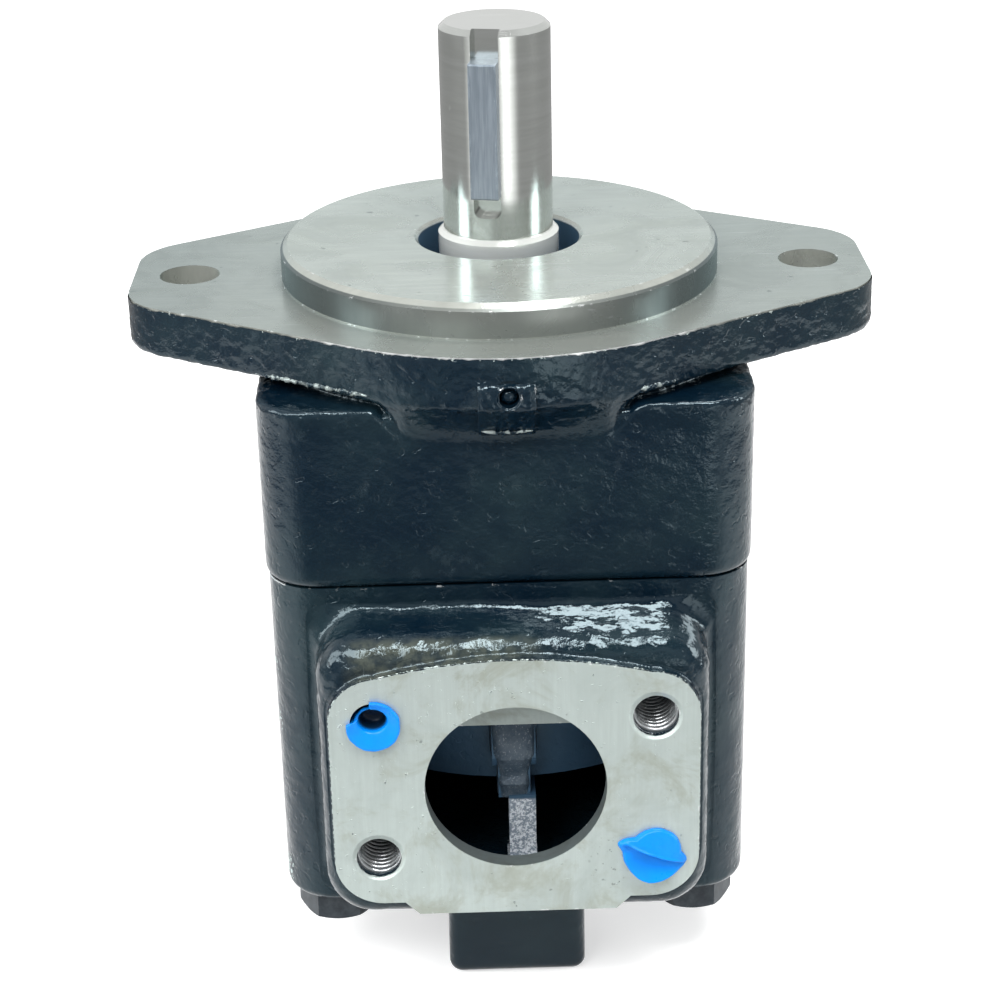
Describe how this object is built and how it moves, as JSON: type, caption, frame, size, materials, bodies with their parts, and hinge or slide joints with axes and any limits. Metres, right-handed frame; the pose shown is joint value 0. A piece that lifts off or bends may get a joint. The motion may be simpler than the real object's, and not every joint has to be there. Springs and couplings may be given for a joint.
{
  "type": "hydraulic vane pump",
  "caption": "Single vane pump with a two-bolt flange and pilot, straight keyed shaft, cast housing, rear suction cap and side ports, blue thread plugs.",
  "frame": {"origin": "centre of the mounting face, on the shaft axis", "axes": "+Z along the shaft to its free end, -Y out of the suction port"},
  "size_m": [0.2134, 0.1741, 0.2755],
  "materials": {
    "painted_casting": "gloss blue-black paint over a rough casting, machined faces bare",
    "machined_steel": "turned and ground",
    "cartridge_steel": "ground, hardened",
    "dark_screws": "painted over with the body",
    "key_steel": "dark drawn bar",
    "seal_rubber": "black nitrile",
    "bush_bronze": "bronze",
    "blue_plastic": "moulded blue polyethylene"
  },
  "bodies": {
    "pump_body": {"front_housing": "painted_casting", "end_cap": "painted_casting", "body_bolts": "dark_screws", "gallery_plug": "dark_screws", "body_seal": "seal_rubber", "front_port_plate": "cartridge_steel", "cam_ring": "cartridge_steel", "rear_port_plate": "cartridge_steel", "cartridge_dowels": "cartridge_steel", "cartridge_screws": "cartridge_steel", "hub_seal": "seal_rubber", "plate_seal": "seal_rubber", "bearing_outer_race": "cartridge_steel", "bearing_circlip": "cartridge_steel", "seal_case": "cartridge_steel", "seal_lip": "seal_rubber", "seal_spring": "cartridge_steel", "rear_bush": "bush_bronze"},
    "rotor_group": {"shaft": "machined_steel", "shaft_key": "key_steel", "rotor": "cartridge_steel", "bearing_inner_race": "cartridge_steel", "shaft_circlip": "cartridge_steel"},
    "ball_set": {"bearing_balls": "cartridge_steel", "bearing_cage": "cartridge_steel"},
    "ring_plug": {"ring_plug": "blue_plastic"},
    "flap_plug": {"flap_plug": "blue_plastic"},
    "vane_01_set": {"vane_01": "cartridge_steel", "vane_pin_01": "cartridge_steel"},
    "vane_02_set": {"vane_02": "cartridge_steel", "vane_pin_02": "cartridge_steel"},
    "vane_03_set": {"vane_03": "cartridge_steel", "vane_pin_03": "cartridge_steel"},
    "vane_04_set": {"vane_04": "cartridge_steel", "vane_pin_04": "cartridge_steel"},
    "vane_05_set": {"vane_05": "cartridge_steel", "vane_pin_05": "cartridge_steel"},
    "vane_06_set": {"vane_06": "cartridge_steel", "vane_pin_06": "cartridge_steel"},
    "vane_07_set": {"vane_07": "cartridge_steel", "vane_pin_07": "cartridge_steel"},
    "vane_08_set": {"vane_08": "cartridge_steel", "vane_pin_08": "cartridge_steel"},
    "vane_09_set": {"vane_09": "cartridge_steel", "vane_pin_09": "cartridge_steel"},
    "vane_10_set": {"vane_10": "cartridge_steel", "vane_pin_10": "cartridge_steel"}
  },
  "joints": [
    {"name": "shaft_spin", "type": "hinge", "parent": "pump_body", "child": "rotor_group", "pos_m": [0, 0, 0], "axis": [0, 0, 1], "continuous": true},
    {"name": "cage_spin", "type": "hinge", "parent": "pump_body", "child": "ball_set", "pos_m": [0, 0, 0], "axis": [0, 0, 1], "continuous": true},
    {"name": "ring_plug_pull", "type": "slide", "parent": "pump_body", "child": "ring_plug", "axis": [0, -1, 0], "range_m": [0, 0.012]},
    {"name": "flap_plug_pull", "type": "slide", "parent": "pump_body", "child": "flap_plug", "axis": [0, -1, 0], "range_m": [0, 0.012]},
    {"name": "vane_01_slide", "type": "slide", "parent": "rotor_group", "child": "vane_01_set", "axis": [0.9877, 0.1564, 0], "range_m": [-0.0005, 0.00369]},
    {"name": "vane_02_slide", "type": "slide", "parent": "rotor_group", "child": "vane_02_set", "axis": [0.7071, 0.7071, 0], "range_m": [-0.0005, 0.0053]},
    {"name": "vane_03_slide", "type": "slide", "parent": "rotor_group", "child": "vane_03_set", "axis": [0.1564, 0.9877, 0], "range_m": [-0.0005, 0.00369]},
    {"name": "vane_04_slide", "type": "slide", "parent": "rotor_group", "child": "vane_04_set", "axis": [-0.454, 0.891, 0], "range_m": [-0.0005, 0.00038]},
    {"name": "vane_05_slide", "type": "slide", "parent": "rotor_group", "child": "vane_05_set", "axis": [-0.891, 0.454, 0], "range_m": [-0.0005, 0.00038]},
    {"name": "vane_06_slide", "type": "slide", "parent": "rotor_group", "child": "vane_06_set", "axis": [-0.9877, -0.1564, 0], "range_m": [-0.0005, 0.00369]},
    {"name": "vane_07_slide", "type": "slide", "parent": "rotor_group", "child": "vane_07_set", "axis": [-0.7071, -0.7071, 0], "range_m": [-0.0005, 0.0053]},
    {"name": "vane_08_slide", "type": "slide", "parent": "rotor_group", "child": "vane_08_set", "axis": [-0.1564, -0.9877, 0], "range_m": [-0.0005, 0.00369]},
    {"name": "vane_09_slide", "type": "slide", "parent": "rotor_group", "child": "vane_09_set", "axis": [0.454, -0.891, 0], "range_m": [-0.0005, 0.00038]},
    {"name": "vane_10_slide", "type": "slide", "parent": "rotor_group", "child": "vane_10_set", "axis": [0.891, -0.454, 0], "range_m": [-0.0005, 0.00038]}
  ],
  "couplings": [
    {"joint": "cage_spin", "follows": "shaft_spin", "ratio": 0.39626}
  ]
}
